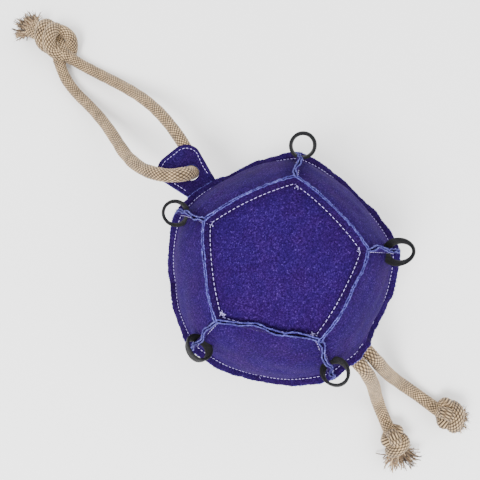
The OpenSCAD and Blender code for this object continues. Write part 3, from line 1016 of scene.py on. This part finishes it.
def foot_stitches(soup):
    """A row of stitches along each side of the base seam's margin."""
    b = np.linspace(-24, 24, 120) * math.pi / 180
    x, y = foot_point(b, FOOT_R + 3.2)
    arc = np.stack([x, y, np.full_like(b, 2.78)], 1)
    for n in range(5):
        turn = rot_z(math.radians(72 * n + 36))
        stitch_row(soup, arc @ turn.T, np.tile([0.0, 0, 1.0], (len(b), 1)), 90 + n)


def loose_ends(threads):
    """Thread ends that curl up where the stitch lines meet at the corners of the panels."""
    r = np.random.default_rng(8)
    for flat, high, first, kind, far, count in CORNERS:
        for k in range(5):
            azimuth = math.radians(first + 72 * k)
            corner = CENTRE + np.array([flat * math.cos(azimuth), flat * math.sin(azimuth), high]) * far
            for _ in range(count):
                p, d = corner + r.normal(size=3) * 0.8, unit(r.normal(size=3) + [0, 0, 0.8])
                walk = [p]
                for _ in range(7):
                    p = p + d * 0.55
                    d = unit(d + r.normal(size=3) * 0.45)
                    walk.append(p)
                tube(threads[kind], spline(walk, 0.5), 0.13, 5)


def seam_threads():
    threads = {kind: Soup() for kind in ("top", "upper", "middle", "lower", "base")}
    fin_stitches(threads)
    foot_stitches(threads["base"])
    loose_ends(threads)
    for kind, soup in threads.items():
        attach(soup.mesh(kind + "_stitches", [THREAD]), "ball", "thread", kind + "_seam_thread")


seam_threads()

# ------------ tape loops

LOOP_R = 8
LOOP_E = SEAM_LEN / 2 - 14  # how far along its seam and how far out a loop is sewn on
LOOP_OUT = math.sqrt(ARC_R**2 - LOOP_E**2) - ARC_DROP + 2.6
LOOP_X = LOOP_OUT * math.cos(LEAN) + LOOP_E * math.sin(LEAN)
LOOP_Z = BALL_Z + LOOP_OUT * math.sin(LEAN) - LOOP_E * math.cos(LEAN)
# each loop's pitch in degrees, as in the CAD; its shift outwards, sideways and up from its place there; how
# much longer than wide it has been pulled; and how far its tape leans out, as a slope
LOOPS = [
    (18, (0.9, -1.0, 1.8), 1.0, 0.2),
    (24, (-4.6, 2.8, 4.6), 1.03, 0.2),
    (55, (-4.2, 3.2, 4.4), 0.98, 0.25),
    (34, (-5.4, 2.2, 5.2), 1.02, 0.25),
    (36, (-5.2, -1.8, 5.0), 1.13, 0.45),
]


def tape_loop(n, pitch, shift, oval, flare):
    """A closed ring of woven tape through the fin, a little out of true."""
    a = np.linspace(0, 2 * math.pi, 90, endpoint=False)
    path = np.stack([LOOP_R * oval * (1 + np.cos(a)) - 0.5, LOOP_R / oval * np.sin(a), 0 * a], 1)
    tangent = unit(np.stack([-oval * np.sin(a), np.cos(a) / oval, 0 * a], 1))
    out = np.cross(tangent, [0, 0, 1.0])
    w = np.array([-3.0, -2.6, -1.5, 0, 1.5, 2.6, 3.0, 2.6, 1.5, 0, -1.5, -2.6])
    thick = np.array([0, 0.75, 1, 1, 1, 0.75, 0, -0.75, -1, -1, -1, -0.75])
    sway = 0.5 * np.sin(2 * a + n)
    points = path[:, None] + out[:, None] * thick[None, :, None]
    points += out[:, None] * flare * w[None, :, None]
    points[..., 2] += w[None, :] + sway[:, None]
    turn = rot_z(math.radians(72 * n - 36))
    place = turn @ (np.array([LOOP_X, 0, LOOP_Z]) + shift)
    soup = Soup()
    soup.grid(points @ (turn @ rot_y(-math.radians(pitch))).T + place, close=True)
    piece = soup.mesh(f"woven_tape_loop_{n}", [TAPE])
    uv = piece.data.uv_layers.new(name="UVMap")
    table = np.stack([np.repeat(LOOP_R * a, len(w)), np.tile(w, len(path))], 1)
    corners = np.array([corner.vertex_index for corner in piece.data.loops])
    uv.data.foreach_set("uv", table[corners].ravel() * 0.9)
    attach(piece, f"tape_loop_{n}", "tape", f"tape_loop_{n}")


for n, loop in enumerate(LOOPS, 1):
    tape_loop(n, *loop)

# ------------ pull tab

TAB_ROOT, TAB_WIDE, TAB_END = 77.4, 107.5, 119.5  # y of its root, its widest place and its end
TAB_ROOT_HALF, TAB_WIDE_HALF = 13, 18.3  # half its width at the first two
TAB_CORNER, TAB_CX = 12.0, 6.3  # radius and x of its rounded corners
STITCHES_FROM = 86.5  # y where its margin stitches start
HOLE = np.array([2.0, 97.0])
HOLE_R = 6.2


def tab_side(y):
    """Half width of the tab at height y along it."""
    straight = np.interp(y, [70, 86.2, TAB_WIDE], [TAB_ROOT_HALF, TAB_ROOT_HALF, TAB_WIDE_HALF])
    corner = TAB_CX + np.sqrt(np.maximum(TAB_CORNER**2 - (y - TAB_END + TAB_CORNER) ** 2, 0))
    return np.where(y > TAB_END - TAB_CORNER, corner, straight)


def tab_outline():
    corner = TAB_END - TAB_CORNER + TAB_CORNER * np.sin(np.linspace(0.02, math.pi / 2, 26))
    y = np.concatenate([np.linspace(TAB_ROOT, TAB_WIDE, 60), corner])
    right = np.stack([tab_side(y), y], 1)
    root = np.stack([np.linspace(-TAB_ROOT_HALF, TAB_ROOT_HALF, 20)[1:-1], np.full(18, TAB_ROOT)], 1)
    return np.vstack([right, right[::-1] * [-1, 1], root])


def tab_world(p):
    """Bends flat tab points, (x, y, z), to the seam's lean at the root and the tab's own lean beyond it."""
    x, y = p[..., 0], p[..., 1]
    roll = LEAN + (math.radians(8) - LEAN) * smooth((y - 79) / 8.5)
    ripple = 0.35 * np.sin(x / 9 + y / 13) * smooth((y - 88) / 12)
    z = p[..., 2] + ripple
    cos, sin = np.cos(roll), np.sin(roll)
    return np.stack([x * cos + z * sin, y, -x * sin + z * cos + BALL_Z], -1)


def tab_face(direction, dist, sign):
    """Rows of one face of the tab, from the hole to the rim: each is its points and its height."""
    rows = []
    for t in (0.0, 0.4, 1.2, 3.0):
        rows.append((HOLE + direction * (HOLE_R + t), sign * (1.0 + 0.35 * smooth(t))))
    for t in np.linspace(0, 1, 8)[1:-1]:
        rows.append((HOLE + direction * (HOLE_R + 3 + t * (dist - HOLE_R - 3 - 6)), sign * 1.38))
    for t in np.concatenate([[0.0, 0.22, 0.7], np.linspace(1.6, 6, 8)])[::-1]:
        dip = 0.28 * math.exp(-(((t - 3.2) / 0.8) ** 2))
        edge_drop = 0.45 * (1 - float(smooth(t / 0.9)))
        rows.append((HOLE + direction * (dist - t), sign * (1.36 - dip - edge_drop)))
    return rows


def tab_suede(direction, dist):
    """Both layers of the tab, with a crease between them at the rim and in the hole."""
    front, back = tab_face(direction, dist, 1), tab_face(direction, dist, -1)
    rim = [(HOLE + direction * (dist + out), z) for out, z in ((0.12, 0.5), (-0.35, 0.0), (0.12, -0.5))]
    hole = [(HOLE + direction * (HOLE_R + out), z) for out, z in ((-0.15, -0.5), (0.3, 0.0), (-0.15, 0.5))]
    rows = front + rim + back[::-1] + hole
    points = np.stack([np.concatenate([xy, np.full((len(xy), 1), z)], 1) for xy, z in rows])
    mats = np.zeros(points.shape[:2], int)
    mats[len(front) - 1 : len(front) + 4] = 1
    mats[-4:] = 1
    soup = Soup()
    soup.grid(tab_world(points), mats, close=True, flip=True)
    # The tab's suede is the darker copy: painted shade.
    tab = soup.mesh("suede_pull_tab", [TAB_SUEDE_PAINTED_SHADE, RAW])
    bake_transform(tab)
    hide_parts("tab_root", "tab_front", "tab_back")


def tab_stitches(direction, dist):
    """A row of stitches along the tab's margin, on both faces."""
    margin = HOLE + direction * (dist - 3.2)
    start = int(np.argmax(margin[:, 1] <= STITCHES_FROM))
    margin = np.roll(margin, -start, axis=0)
    margin = margin[margin[:, 1] > STITCHES_FROM]
    soup = Soup()
    for sign in (1, -1):
        flat = np.concatenate([margin, np.full((len(margin), 1), sign * 1.2)], 1)
        lifted = flat + [0, 0, sign * 0.5]
        stitch_row(soup, tab_world(flat), tab_world(lifted) - tab_world(flat), 300 + sign)
    attach(soup.mesh("tab_stitches", [THREAD]), "pull_tab", "thread", "tab_thread")


def pull_tab():
    outline = tab_outline()
    closed = np.concatenate([np.vstack([outline, outline[:1]]), np.zeros((len(outline) + 1, 1))], 1)
    rim = resample(closed, 0.8)[:-1, :2]
    rim = rim[np.argsort(np.arctan2(rim[:, 1] - HOLE[1], rim[:, 0] - HOLE[0]))]
    direction, dist = unit(rim - HOLE), np.linalg.norm(rim - HOLE, axis=1)[:, None]
    tab_suede(direction, dist)
    tab_stitches(direction, dist)


pull_tab()
